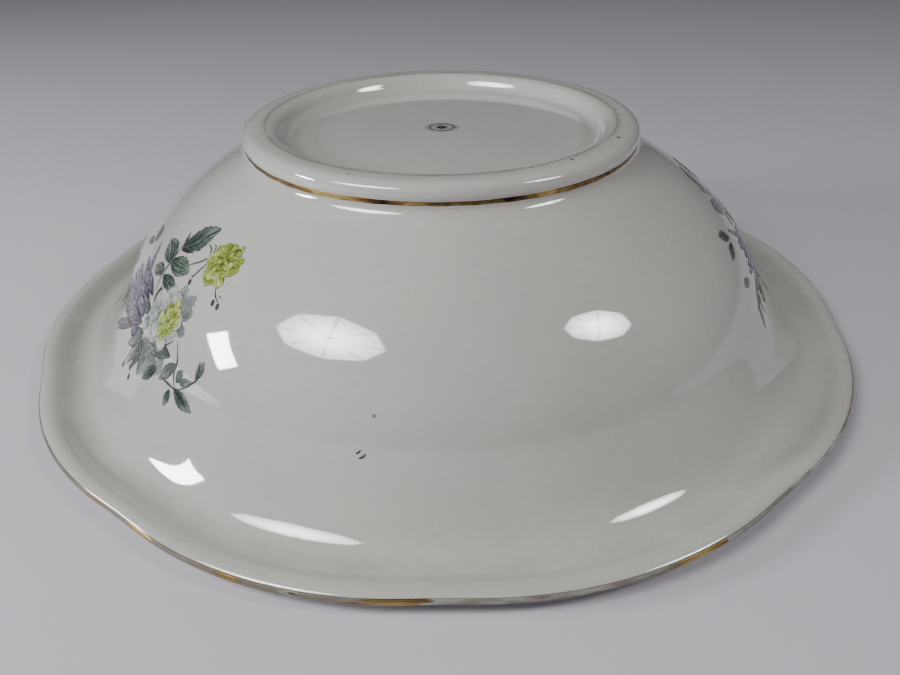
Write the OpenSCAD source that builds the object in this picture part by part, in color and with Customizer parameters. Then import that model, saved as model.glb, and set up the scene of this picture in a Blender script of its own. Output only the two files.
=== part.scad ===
// Porcelain serving bowl with a scalloped, rolled rim, standing on its foot.
// The origin is the centre of the foot on the table; the mouth faces +Z.
// All sizes are in millimetres and all angles are in degrees.

/* [Rim] */
// Radius at the tip of a scallop
rim_r = 223; // [205:1:235]
// Height from the table to the crest of the rolled rim
bowl_h = 115; // [105:1:130]
// Radius at which the rolled rim is highest
crest_r = 207; // [200:1:208]
// How far the outline dips in between two scallops
scallop_depth = 3.4; // [2:0.1:5]
// How far the lip hangs below the groove behind it
lip_drop = 4.9; // [3:0.1:6]

/* [Foot] */
// Radius of the crease where the foot ring meets the bowl
foot_r = 101.5; // [98:0.5:103]
// Height of the foot ring
foot_h = 8.3; // [7:0.1:10]
// Radius of the sunken floor inside the foot ring
recess_r = 76.5; // [70:0.5:78]
// Radius of the middle of the crest that the bowl stands on
stand_r = 93.5; // [92:0.5:95]
// Width of that crest
stand_w = 4; // [2:0.5:5]

/* [Porcelain] */
// Thickness of the wall and of the rim
wall_t = 5.6; // [4.5:0.1:6.5]
// Thickness of the floor in the middle
floor_t = 6.5; // [5:0.1:8]

/* [Decoration] */
// Width of the gilt line round the foot
gilt_w = 2; // [1:0.1:2.4]
// How far gilding and transfers stand proud of the glaze
skin_t = 0.25; // [0.2:0.05:0.4]
// Diameter of the plain mark under the foot
mark_d = 18; // [10:1:30]
// Direction of the middle of the first rose spray
spray_a_turn = -36; // [-45:1:-25]
// Direction of the middle of the second rose spray
spray_b_turn = 184; // [175:1:195]

/* [Hidden] */
$fn = 96;

glaze = [0.90, 0.89, 0.85];
gold = [0.60, 0.45, 0.20];
leaf_green = [0.42, 0.50, 0.42];

// Straight steps in one curved run of the section
steps = 12;
// Directions of the dips between scallops: a moulded rim, so they are only roughly even
dips = [11, 45, 80, 116, 152, 188, 228, 268, 304, 335];

groove_z = bowl_h - wall_t;
seam_r = crest_r - scallop_depth;
lip_z = groove_z - lip_drop;
lip_t = wall_t - 0.2;
lip_r = rim_r - 4;
edge_z = lip_z + (lip_t - gilt_w) / 2;
line_z = foot_h - gilt_w / 2;
mark_y = 4;

// A point of the wall, as shares of the way from the foot's crease to the rim
function at(out, up) = [foot_r + out * (rim_r - foot_r), foot_h + up * (bowl_h - foot_h)];

// Bezier curves of the section, given by their four control points [radius, height]
foot_inside = [[recess_r, foot_h], [recess_r + 9.5, foot_h], [recess_r + 3.5, 0],
               [stand_r - stand_w / 2, 0]];
foot_roll = [[stand_r + stand_w / 2, 0], [foot_r - 0.2, 0],
             [foot_r + 1.6, foot_h * 0.42], [foot_r, line_z]];
flank = [[foot_r, line_z + gilt_w], [foot_r + 0.2, line_z + gilt_w + 3.2],
         at(0.031, 0.061), at(0.070, 0.087)];
wall = [at(0.070, 0.087), at(0.210, 0.180), at(0.4815, 0.3535), at(0.587, 0.653)];
shoulder = [at(0.587, 0.653), at(0.593, 0.670), at(0.646, 0.754), at(0.690, 0.822)];
flare = [at(0.690, 0.822), at(0.729, 0.882), [seam_r - 6.1, groove_z], [seam_r, groove_z]];
lip_under = [[crest_r, groove_z], [crest_r + 5, groove_z], [lip_r - 5, lip_z], [lip_r, lip_z]];
lip_below = [[lip_r, lip_z], [rim_r - 1.8, lip_z], [rim_r, edge_z - 0.9], [rim_r, edge_z]];
lip_above = [[rim_r, edge_z + gilt_w], [rim_r, edge_z + gilt_w + 0.9],
             [rim_r - 1.8, lip_z + lip_t], [lip_r, lip_z + lip_t]];
lip_top = [[lip_r, lip_z + lip_t], [lip_r - 5, lip_z + lip_t], [crest_r + 6, bowl_h],
           [crest_r, bowl_h]];

function curve(p, t) = pow(1 - t, 3) * p[0] + 3 * pow(1 - t, 2) * t * p[1]
    + 3 * (1 - t) * t * t * p[2] + pow(t, 3) * p[3];
function along(p, t) = pow(1 - t, 2) * (p[1] - p[0]) + 2 * (1 - t) * t * (p[2] - p[1])
    + t * t * (p[3] - p[2]);

// Unit vector at right angles to the curve, to the left of the way it runs
function aside(p, t) = let (d = along(p, t)) [-d.y, d.x] / norm(d);
function lifted(p, t, lift) = curve(p, t) + lift * aside(p, t);

// The curve in steps without its first point, which ends the run before it
function run(p, lift = 0) = [for (i = [1:steps]) lifted(p, i / steps, lift)];
function back(points) = [for (i = [len(points) - 1:-1:0]) points[i]];

// Underside of the bowl from the gilt line to the seam with the scalloped lip
function underside(lift = 0) = concat(run(wall, lift), run(shoulder, lift), run(flare, lift));

// Start and width of scallop i, and the direction of its middle
function dip(i) = i < len(dips) ? dips[i] : dips[0] + 360;
function half_width(i) = (dip(i + 1) - dip(i)) / 2;
function middle(i) = (dip(i + 1) + dip(i)) / 2;

// How far from the bowl's axis scallop i has its own axis, so that its arc passes
// through both dips at its ends and through its tip, all moved outwards by grow
function arc_centre(i, grow = 0) = let (tip_r = rim_r + grow, dip_r = tip_r - scallop_depth)
    (tip_r * tip_r - dip_r * dip_r) / 2 / (tip_r - dip_r * cos(half_width(i)));

module sector(from, to) {
    reach = 2 * rim_r;
    polygon([[0, 0], reach * [cos(from), sin(from)], reach * [cos(to), sin(to)]]);
}

// A section turned round the rim, one arc for each scallop, mitred at the dips
module scalloped(section) {
    for (i = [0:len(dips) - 1])
        intersection() {
            rotate(middle(i))
                translate([arc_centre(i), 0, 0])
                rotate_extrude()
                translate([-arc_centre(i), 0])
                polygon(section);
            linear_extrude(height = 2 * bowl_h) sector(dip(i), dip(i + 1));
        }
}

module bowl_body() {
    inner_floor = let (end = lifted(wall, 0, wall_t), d = along(wall, 0) / norm(along(wall, 0)))
        [end, end - 13 * d, [foot_r - 26, foot_h + floor_t], [foot_r - 42, foot_h + floor_t]];
    turned = concat(
        [[0, foot_h], [foot_r, foot_h], flank[0]], run(flank), underside(),
        back(underside(wall_t)), [inner_floor[0]], run(inner_floor), [[0, foot_h + floor_t]]);
    lip = concat(
        [[seam_r - 8, groove_z], [crest_r, groove_z]], run(lip_under), run(lip_below),
        [lip_above[0]], run(lip_above), run(lip_top), [[seam_r - 8, bowl_h]]);
    color(glaze) {
        rotate_extrude() polygon(turned);
        difference() {
            scalloped(lip);
            cylinder(r = seam_r, h = 2 * bowl_h);
        }
    }
}

module foot_ring() {
    ring = concat([foot_inside[0]], run(foot_inside), [foot_roll[0]], run(foot_roll),
                  [[foot_r, foot_h]]);
    color(glaze) rotate_extrude() polygon(ring);
}

module gilt_foot_line() {
    color(gold)
        translate([0, 0, line_z])
        difference() {
            cylinder(r = foot_r + skin_t, h = gilt_w);
            translate([0, 0, -1]) cylinder(r = foot_r, h = gilt_w + 2);
        }
}

// The rim's outline as a flat shape, moved outwards by grow: every scallop's circle,
// whose far side lies inside the others
module outline(grow = 0) {
    for (i = [0:len(dips) - 1]) {
        c = arc_centre(i, grow);
        rotate(middle(i)) translate([c, 0]) rotate(180) circle(r = rim_r + grow - c);
    }
}

module gilt_rim_edge() {
    color(gold)
        translate([0, 0, edge_z])
        linear_extrude(height = gilt_w)
        difference() {
            outline(skin_t);
            outline();
        }
}

// The thin shell over the bowl's wall and shoulder that transfers are cut from
module transfer_skin() {
    cover = concat(run(wall), run(shoulder));
    outside = concat(run(wall, -skin_t), run(shoulder, -skin_t));
    rotate_extrude() polygon(concat(outside, back(cover)));
}

// Child shapes stood on the wall: up runs from 0 at the wall's foot to 1 at the shoulder
// and 2 above it; turned 0 points a motif up the wall
module on_wall(turn, up, turned = 0) {
    p = up < 1 ? wall : shoulder;
    t = up < 1 ? up : up - 1;
    d = along(p, t);
    spot = curve(p, t);
    rotate(turn)
        translate([spot.x, 0, spot.y])
        rotate([0, 90 + atan2(d.x, d.y), 0])
        rotate(180 + turned)
        translate([0, 0, -3])
        linear_extrude(height = 6)
        children();
}

module leaf(length, width) {
    r = (length * length + width * width) / (4 * width);
    translate([length / 2, 0])
        intersection() {
            translate([0, r - width / 2]) circle(r);
            translate([0, width / 2 - r]) circle(r);
        }
}

module bloom(d) {
    for (i = [0:4])
        rotate(72 * i)
            translate([d * 0.24, 0])
            circle(d = d * 0.54);
}

// One spray: two roses, a fringed flower, and leaves and petals round them.
// Each row is one leaf or petal: [turn from the spray's middle, up, direction, length, width]
module rose_spray(turn) {
    leaves = [
        [1.5, 0.50, 137, 25, 13], [1.8, 0.58, 101, 21, 9], [1, 0.585, -118, 19, 10],
        [1, 0.65, 83, 17, 7], [1, 0.65, -90, 14, 6], [0, 0.73, -100, 22, 8],
        [6, 0.84, -110, 32, 10], [-2, 0.92, -56, 22, 9], [-3, 0.94, -36, 22, 5],
        [-3, 0.96, 17, 16, 6], [-14, 0.92, -50, 17, 6], [-12, 0.92, -88, 26, 9],
        [-14.3, 1.11, 66, 17, 6], [-13.5, 1.17, 0, 8, 4], [-15, 1.09, 142, 19, 6],
        [-9, 0.99, -50, 14, 7], [14, 0.88, -68, 20, 6], [16, 0.95, -37, 19, 4]];
    color(leaf_green)
        intersection() {
            transfer_skin();
            union() {
                on_wall(turn - 12.8, 0.435) bloom(24);
                on_wall(turn - 6.5, 0.79) bloom(30);
                on_wall(turn + 6, 0.84) bloom(38);
                for (row = leaves)
                    on_wall(turn + row[0], row[1], row[2]) leaf(row[3], row[4]);
            }
        }
}

module rose_spray_a() {
    rose_spray(spray_a_turn);
}

module rose_spray_b() {
    rose_spray(spray_b_turn);
}

module stray_leaf() {
    color(leaf_green)
        intersection() {
            transfer_skin();
            on_wall(-82, 1.18, 100) leaf(9, 4);
        }
}

module base_mark() {
    color(leaf_green)
        translate([0, mark_y, foot_h - skin_t])
        cylinder(d = mark_d, h = skin_t);
}

bowl_body();
foot_ring();
gilt_foot_line();
gilt_rim_edge();
rose_spray_a();
rose_spray_b();
stray_leaf();
base_mark();
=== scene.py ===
"""Porcelain serving bowl: a glazed, crazed bowl with a scalloped rolled rim, worn
gilding and printed rose sprays, built round the CAD frame.

The bowl stands on its foot with its mouth up. The main camera sees it turned over on its
rim, so the stage is a floor for the upright views and a table top, level with the rim,
that only shows when it is looked at from below.
"""
import math

import bpy
import numpy as np
from mathutils import Matrix, Vector


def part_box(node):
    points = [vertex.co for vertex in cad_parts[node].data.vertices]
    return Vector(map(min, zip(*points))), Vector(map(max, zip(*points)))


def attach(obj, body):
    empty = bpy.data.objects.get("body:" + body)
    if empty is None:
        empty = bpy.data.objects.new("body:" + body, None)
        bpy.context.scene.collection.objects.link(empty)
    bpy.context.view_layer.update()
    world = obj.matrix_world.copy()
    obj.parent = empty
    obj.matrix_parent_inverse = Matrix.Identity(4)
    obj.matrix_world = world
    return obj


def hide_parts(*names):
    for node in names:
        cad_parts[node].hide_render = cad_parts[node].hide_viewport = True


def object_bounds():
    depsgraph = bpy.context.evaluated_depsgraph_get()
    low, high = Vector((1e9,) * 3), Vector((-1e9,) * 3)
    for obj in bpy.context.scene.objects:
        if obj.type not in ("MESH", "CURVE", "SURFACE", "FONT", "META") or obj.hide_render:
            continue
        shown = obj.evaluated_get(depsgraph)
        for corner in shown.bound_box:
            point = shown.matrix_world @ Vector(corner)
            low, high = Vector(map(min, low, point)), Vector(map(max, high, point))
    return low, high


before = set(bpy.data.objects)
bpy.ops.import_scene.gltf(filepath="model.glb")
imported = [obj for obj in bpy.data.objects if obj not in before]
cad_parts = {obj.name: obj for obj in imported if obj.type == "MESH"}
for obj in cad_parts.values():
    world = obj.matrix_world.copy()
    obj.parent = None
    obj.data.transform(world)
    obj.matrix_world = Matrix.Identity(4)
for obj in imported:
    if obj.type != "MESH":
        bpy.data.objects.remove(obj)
CAD_LOW, CAD_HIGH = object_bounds()
MM = 0.001

# ---------------------------------------------------------------- sizes, in metres
LINE_LOW, LINE_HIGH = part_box("gilt_foot_line")
MARK_LOW, MARK_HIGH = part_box("base_mark")
SKIN = MARK_HIGH.z - MARK_LOW.z
BOWL_H = CAD_HIGH.z
FOOT_R = (LINE_HIGH.x - LINE_LOW.x) / 2 - SKIN
FOOT_H = (LINE_LOW.z + LINE_HIGH.z) / 2
RIM_R = 0.223
CREST_R = 0.207
SCALLOP_DEPTH = 0.0034
LIP_DROP = 0.0049
RECESS_R = 0.0765
STAND_R = 0.0935
STAND_W = 0.004
WALL_T = 0.0056
FLOOR_T = 0.0065
GROOVE_Z = BOWL_H - WALL_T
SEAM_R = CREST_R - SCALLOP_DEPTH
LIP_Z = GROOVE_Z - LIP_DROP
LIP_T = WALL_T - 0.2 * MM
LIP_R = RIM_R - 4 * MM
EDGE_Z = LIP_Z + LIP_T / 2

SCALLOP_START = 0.186
RIM_SAG = 0.45 * MM
COLUMNS = 480

# Directions of the dips between the scallops, in degrees
DIPS = np.array([11, 45, 80, 116, 152, 188, 228, 268, 304, 335], float)
# Radii of the rings of points on the flat underside and on the floor inside
BASE_RINGS = np.array([0, 6, 18, 30, 42, 54, 64, 71, 75, 79, 90, 101.2]) * MM
FLOOR_RINGS = np.array([50, 40, 28, 16, 6, 0]) * MM


# ---------------------------------------------------------------- the bowl's section
def at(out, up):
    """A point of the wall, as shares of the way from the foot's crease to the rim."""
    return (FOOT_R + out * (RIM_R - FOOT_R), FOOT_H + up * (BOWL_H - FOOT_H))


FOOT_INSIDE = [(RECESS_R, FOOT_H), (RECESS_R + 9.5 * MM, FOOT_H), (RECESS_R + 3.5 * MM, 0),
               (STAND_R - STAND_W / 2, 0)]
FOOT_ROLL = [(STAND_R + STAND_W / 2, 0), (FOOT_R - 0.2 * MM, 0),
             (FOOT_R + 1.6 * MM, FOOT_H * 0.42), (FOOT_R, LINE_LOW.z)]
FLANK = [(FOOT_R, LINE_HIGH.z), (FOOT_R + 0.2 * MM, LINE_HIGH.z + 3.2 * MM),
         at(0.031, 0.061), at(0.070, 0.087)]
WALL = [at(0.070, 0.087), at(0.210, 0.180), at(0.4815, 0.3535), at(0.587, 0.653)]
SHOULDER = [at(0.587, 0.653), at(0.593, 0.670), at(0.646, 0.754), at(0.690, 0.822)]
FLARE = [at(0.690, 0.822), at(0.729, 0.882), (SEAM_R - 6.1 * MM, GROOVE_Z),
         (SEAM_R, GROOVE_Z)]
LIP_UNDER = [(CREST_R, GROOVE_Z), (CREST_R + 5 * MM, GROOVE_Z), (LIP_R - 5 * MM, LIP_Z),
             (LIP_R, LIP_Z)]
LIP_BELOW = [(LIP_R, LIP_Z), (RIM_R - 1.8 * MM, LIP_Z), (RIM_R, EDGE_Z - 1.6 * MM),
             (RIM_R, EDGE_Z)]
LIP_ABOVE = [(RIM_R, EDGE_Z), (RIM_R, EDGE_Z + 1.6 * MM), (RIM_R - 1.8 * MM, LIP_Z + LIP_T),
             (LIP_R, LIP_Z + LIP_T)]
LIP_TOP = [(LIP_R, LIP_Z + LIP_T), (LIP_R - 5 * MM, LIP_Z + LIP_T),
           (CREST_R + 6 * MM, BOWL_H), (CREST_R, BOWL_H)]


def curve(points, steps, lift=0.0):
    """Cubic Bezier: the four points weighted by the Bernstein polynomials of t, then moved
    by lift along the unit normal on the left of the way it runs. Leaves out t = 0."""
    p = np.array(points, float)
    t = (np.arange(1, steps + 1) / steps)[:, None]
    s = 1 - t
    place = s ** 3 * p[0] + 3 * s ** 2 * t * p[1] + 3 * s * t * t * p[2] + t ** 3 * p[3]
    along = s ** 2 * (p[1] - p[0]) + 2 * s * t * (p[2] - p[1]) + t * t * (p[3] - p[2])
    normal = np.stack([-along[:, 1], along[:, 0]], -1)
    return place + lift * normal / np.linalg.norm(normal, axis=1)[:, None]


def outside_wall(fine=1):
    """Section points from the gilt line up the wall to the seam of the lip."""
    return np.concatenate([np.array([FLANK[0]]), curve(FLANK, 10 * fine), curve(WALL, 34 * fine),
                           curve(SHOULDER, 12 * fine), curve(FLARE, 14 * fine)])


def inside_wall():
    """The outside wall moved inwards by the wall's thickness, from the crest down."""
    runs = [curve(FLARE, 12, WALL_T), curve(SHOULDER, 10, WALL_T), curve(WALL, 28, WALL_T)]
    return np.concatenate([run[::-1] for run in runs])


def bowl_section():
    """The whole section of the bowl, from the axis below, round the rim, to the axis inside."""
    base = [(r, FOOT_H) for r in BASE_RINGS]
    low = inside_wall()[-1]
    down = np.array(WALL[1]) - np.array(WALL[0])
    down = down / np.linalg.norm(down)
    floor = [low, low - 13 * MM * down, (FOOT_R - 26 * MM, FOOT_H + FLOOR_T),
             (FOOT_R - 42 * MM, FOOT_H + FLOOR_T)]
    middle = [(r, FOOT_H + FLOOR_T) for r in FLOOR_RINGS]
    crest = [(r, BOWL_H) for r in (CREST_R - 1.2 * MM, CREST_R - 2.4 * MM, SEAM_R)]
    groove = [(CREST_R - 1.5 * MM, GROOVE_Z), (CREST_R, GROOVE_Z)]
    return np.concatenate([
        np.array(base), outside_wall(), np.array(groove), curve(LIP_UNDER, 14),
        curve(LIP_BELOW, 7), curve(LIP_ABOVE, 7), curve(LIP_TOP, 12),
        np.array(crest), inside_wall()[1:], curve(floor, 10), np.array(middle)])


def dip_of(theta):
    """How far the rim's outline lies inside the scallop tips at angle theta (radians). Each
    scallop is an arc through its two dips and its tip, and the row of arcs is smoothed."""
    grid = np.arange(0, 360, 0.5)
    start = np.searchsorted(DIPS, grid, side="right") - 1
    low = np.where(start < 0, DIPS[-1] - 360, DIPS[start])
    high = np.where(start + 1 < len(DIPS), DIPS[(start + 1) % len(DIPS)], DIPS[0] + 360)
    high = np.where(start < 0, DIPS[0], high)
    half = np.radians(high - low) / 2
    off = np.radians(grid - (high + low) / 2)
    dip_r = RIM_R - SCALLOP_DEPTH
    centre = (RIM_R ** 2 - dip_r ** 2) / 2 / (RIM_R - dip_r * np.cos(half))
    outline = centre * np.cos(off) + np.sqrt((RIM_R - centre) ** 2 - (centre * np.sin(off)) ** 2)
    width = np.arange(-12, 13)
    bell = np.exp(-(width / 4.5) ** 2 / 2)
    wrapped = np.concatenate([outline[-12:], outline, outline[:12]])
    rounded = np.convolve(wrapped, bell / bell.sum(), "valid")
    rounded = np.append(rounded, rounded[0])
    return RIM_R - np.interp(np.degrees(theta) % 360, np.append(grid, 360), rounded)


def turned(section, theta):
    """Turns a section [radius, height] round the axis. Towards the rim the radius is drawn in
    by the dips between scallops and the height sags a little, as hand work does."""
    r, z = section[None, :, 0], section[None, :, 1]
    share = np.clip((r - SCALLOP_START) / (CREST_R - SCALLOP_START), 0, 1)
    share = share * share * (3 - 2 * share)
    th = theta[:, None]
    sag = RIM_SAG * (1 + np.sin(2 * th + 0.7)) * (0.6 + 0.4 * np.sin(5 * th))
    radius = r - dip_of(th) * share
    return np.stack([radius * np.cos(th), radius * np.sin(th), z - sag * share + 0 * th], -1)


# ---------------------------------------------------------------- meshes from grids
def grid_faces(rows, columns, close_rows, close_columns, first=0):
    """Quads between neighbouring points of a rows x columns grid, numbered row by row."""
    i = np.arange(rows if close_rows else rows - 1)[:, None]
    j = np.arange(columns if close_columns else columns - 1)[None, :]
    ni, nj = (i + 1) % rows, (j + 1) % columns
    quads = np.stack([i * columns + j, ni * columns + j, ni * columns + nj, i * columns + nj], -1)
    return quads.reshape(-1, 4) + first


def in_scene(name, data):
    made = bpy.data.objects.new(name, data)
    bpy.context.scene.collection.objects.link(made)
    return made


def make_piece(name, points, faces, materials, cad_node):
    """A mesh object that rides on the bowl and takes the place of a CAD node."""
    mesh = bpy.data.meshes.new(name)
    mesh.from_pydata(points.reshape(-1, 3).tolist(), [], faces)
    mesh.polygons.foreach_set("use_smooth", np.ones(len(mesh.polygons), bool))
    for material in materials:
        mesh.materials.append(material)
    piece = in_scene(name, mesh)
    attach(piece, "root")
    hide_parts(cad_node)
    return piece


def full_turn(count=COLUMNS):
    return np.linspace(0, 2 * math.pi, count, endpoint=False)


def vessel(name, section, material, cad_node):
    """A closed turned solid whose section starts and ends on the axis: the two end points
    become single poles with a fan of triangles each."""
    ring = turned(section[1:-1], full_turn())
    count, columns = ring.shape[:2]
    quads = grid_faces(count, columns, True, False)
    below, above = count * columns, count * columns + 1
    start = np.arange(count) * columns
    after = np.roll(start, -1)
    fan_below = np.stack([np.full(count, below), after, start], -1)
    fan_above = np.stack([np.full(count, above), start + columns - 1, after + columns - 1], -1)
    poles = np.array([[0, 0, section[0, 1]], [0, 0, section[-1, 1]]])
    points = np.concatenate([ring.reshape(-1, 3), poles])
    faces = quads.tolist() + fan_below.tolist() + fan_above.tolist()
    return make_piece(name, points, faces, [material], cad_node)


def ring_piece(name, section, material, cad_node):
    """A closed ring: a closed section, anticlockwise in radius and height, turned round."""
    points = turned(section, full_turn())
    faces = grid_faces(COLUMNS, len(section), True, True).tolist()
    return make_piece(name, points, faces, [material], cad_node)


def thickened(piece):
    """Gives a print its thickness, inwards from its face."""
    thick = piece.modifiers.new("thickness", "SOLIDIFY")
    thick.thickness = PRINT_T
    thick.offset = -1
    return piece


# ---------------------------------------------------------------- printed patches
WALL_LINE = outside_wall(2)
WALL_STEP = np.diff(WALL_LINE, axis=0)
WALL_LENGTH = np.concatenate([[0], np.cumsum(np.linalg.norm(WALL_STEP, axis=1))])
WALL_NORMAL = np.gradient(WALL_LINE, axis=0)[:, ::-1] * [1, -1]
WALL_NORMAL = WALL_NORMAL / np.linalg.norm(WALL_NORMAL, axis=1)[:, None]
LEAF, ROSE, PALE, VIOLET, LINE, WASH = range(6)
PRINT_LIFT = 0.05 * MM
PRINT_LAYER = 0.0012 * MM
PRINT_T = 0.03 * MM


def onto_wall(turn, round_way, up_way, lift):
    """Lays flat print on the wall: round_way and up_way are in metres, measured round the bowl
    at that height and up the wall's section; lift is along the wall's outward normal."""
    r = np.interp(up_way, WALL_LENGTH, WALL_LINE[:, 0])
    z = np.interp(up_way, WALL_LENGTH, WALL_LINE[:, 1])
    out = np.interp(up_way, WALL_LENGTH, WALL_NORMAL[:, 0])
    rise = np.interp(up_way, WALL_LENGTH, WALL_NORMAL[:, 1])
    theta = math.radians(turn) + round_way / r
    radius = r + out * lift
    return np.stack([radius * np.cos(theta), radius * np.sin(theta), z + rise * lift], -1)


def blade(length, width, fullness=1.0, belly=1.0, bend=0.0, teeth=0.0, ruffle=0.0,
          steps=(15, 9)):
    """A leaf or petal in its own plane, in mm, with its UV: the half width is a sine of the
    way along, raised to fullness; bend swings the middle line aside by the square of the way
    along; teeth notch the sides with a saw wave and ruffle waves the far edge."""
    u = np.linspace(0.03, 0.97, steps[0])[:, None]
    v = np.linspace(-1, 1, steps[1])[None, :]
    half = width / 2 * np.sin(math.pi * u ** belly) ** fullness
    half = half * (1 + teeth * ((7 * u) % 1 - 0.5))
    along = length * (u + ruffle * u ** 3 * np.cos(6 * v + 5 * ruffle * length))
    across = half * v + bend * length * u * u
    return np.stack([along, across], -1), np.stack([u + 0 * v, (v + 1) / 2 + 0 * u], -1)


def ribbon(path, width, steps=18):
    """A stroke of the engraver's line: a band of the given width, thinned at both ends,
    along a smooth curve through the path's points [round, up], in mm."""
    p = np.array(path, float)
    knots = np.linspace(0, 1, len(p))
    u = np.linspace(0, 1, steps)
    bent = np.stack([np.interp(u, knots, p[:, k]) for k in (0, 1)], -1)
    soft = np.concatenate([bent[:1], (bent[:-2] + 2 * bent[1:-1] + bent[2:]) / 4, bent[-1:]])
    step = np.gradient(soft, axis=0)
    side = np.stack([step[:, 1], -step[:, 0]], -1)
    side = side / np.linalg.norm(side, axis=1)[:, None]
    half = width / 2 * (0.35 + 0.65 * np.sin(math.pi * np.clip(u, 0.04, 0.96)))
    v = np.linspace(1, -1, 3)
    points = soft[:, None, :] - side[:, None, :] * half[:, None, None] * v[None, :, None]
    return points, np.stack(np.broadcast_arrays(u[:, None], (v[None, :] + 1) / 2), -1)


def laid(local, direction, origin=(0, 0)):
    """Turns a patch so that its length points in direction (0 up the wall, 90 clockwise seen
    from outside) and moves it to origin: [along, across] becomes [round, up], in mm."""
    a = math.radians(direction)
    along, across = local[..., 0], local[..., 1]
    return np.stack([origin[0] - along * math.sin(a) - across * math.cos(a),
                     origin[1] + along * math.cos(a) - across * math.sin(a)], -1)


def heading_out(local, heading, start, lean=0.0):
    """A blade of a rosette: it begins at a distance from the middle and heads outwards, or
    leans to one side of that way."""
    a = math.radians(heading)
    return laid(local, heading + lean, (-start * math.sin(a), start * math.cos(a)))


class Print:
    """Patches of one printed design, each a grid of [round, up] points in mm."""

    def __init__(self, seed):
        self.random = np.random.default_rng(seed)
        self.patches = []

    def add(self, kind, turn, up, points, uv):
        self.patches.append((kind, turn, up, points, uv, self.random.random()))

    def leaf(self, kind, turn, up, direction, length, width, **shape):
        if shape.get("teeth"):
            shape["steps"] = (29, 9)
        local, uv = blade(length, width, **shape)
        self.add(kind, turn, up, laid(local, direction), uv)

    def stroke(self, kind, width, places):
        """places are [turn, up] points; the stroke starts at the first of them."""
        turn, up = places[0]
        scale = math.radians(1) * np.interp(up * MM, WALL_LENGTH, WALL_LINE[:, 0]) / MM
        path = [((t - turn) * scale, s - up) for t, s in places]
        points, uv = ribbon(path, width)
        self.add(kind, turn, up, points, uv)

    def rose(self, kind, turn, up, size, squash, tilt, rings):
        """Petals in rings, the outermost first: each ring is [count, start, length, width] in
        shares of the rose's size. The whole rose is squashed along one axis and tilted."""
        cos, sin = math.cos(math.radians(tilt)), math.sin(math.radians(tilt))
        for count, start, length, width in rings:
            shift = self.random.random() * 360
            for i in range(count):
                heading = shift + 360 * i / count + self.random.uniform(-9, 9)
                stretch = self.random.uniform(0.86, 1.12)
                local, uv = blade(size * length * stretch, size * width, fullness=0.55,
                                  belly=1.25, bend=self.random.uniform(-0.18, 0.18),
                                  ruffle=self.random.uniform(0.03, 0.09))
                flat = heading_out(local, heading, size * start)
                x = flat[..., 0] * cos + flat[..., 1] * sin
                y = (flat[..., 1] * cos - flat[..., 0] * sin) * squash
                spun = np.stack([x * cos - y * sin, x * sin + y * cos], -1)
                self.add(kind, turn, up, spun, uv)

    def piece(self, name, turn, materials, cad_node):
        """One object from all patches: later patches lie on earlier ones. Every point keeps
        the patch's own UV, with its random tone in the attribute named tone."""
        points, faces, uvs, tones, kinds = [], [], [], [], []
        count = 0
        for layer, (kind, off, up, grid, uv, tone) in enumerate(self.patches):
            rows, columns = grid.shape[:2]
            up_way = (up + grid[..., 1]) * MM
            lift = PRINT_LIFT + PRINT_LAYER * layer
            points.append(onto_wall(turn + off, grid[..., 0] * MM, up_way, lift).reshape(-1, 3))
            quads = grid_faces(rows, columns, False, False, count)
            faces += quads.tolist()
            uvs.append(uv.reshape(-1, 2))
            tones.append(np.full(rows * columns, tone))
            kinds.append(np.full(len(quads), kind))
            count += rows * columns
        made = make_piece(name, np.concatenate(points), faces, materials, cad_node)
        mesh = made.data
        mesh.polygons.foreach_set("material_index", np.concatenate(kinds).astype(np.int32))
        corners = np.zeros(len(mesh.loops), np.int32)
        mesh.loops.foreach_get("vertex_index", corners)
        layout = mesh.uv_layers.new(name="print")
        layout.data.foreach_set("uv", np.concatenate(uvs)[corners].ravel())
        shades = mesh.attributes.new("tone", "FLOAT", "POINT")
        shades.data.foreach_set("value", np.concatenate(tones))
        return thickened(made)


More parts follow.
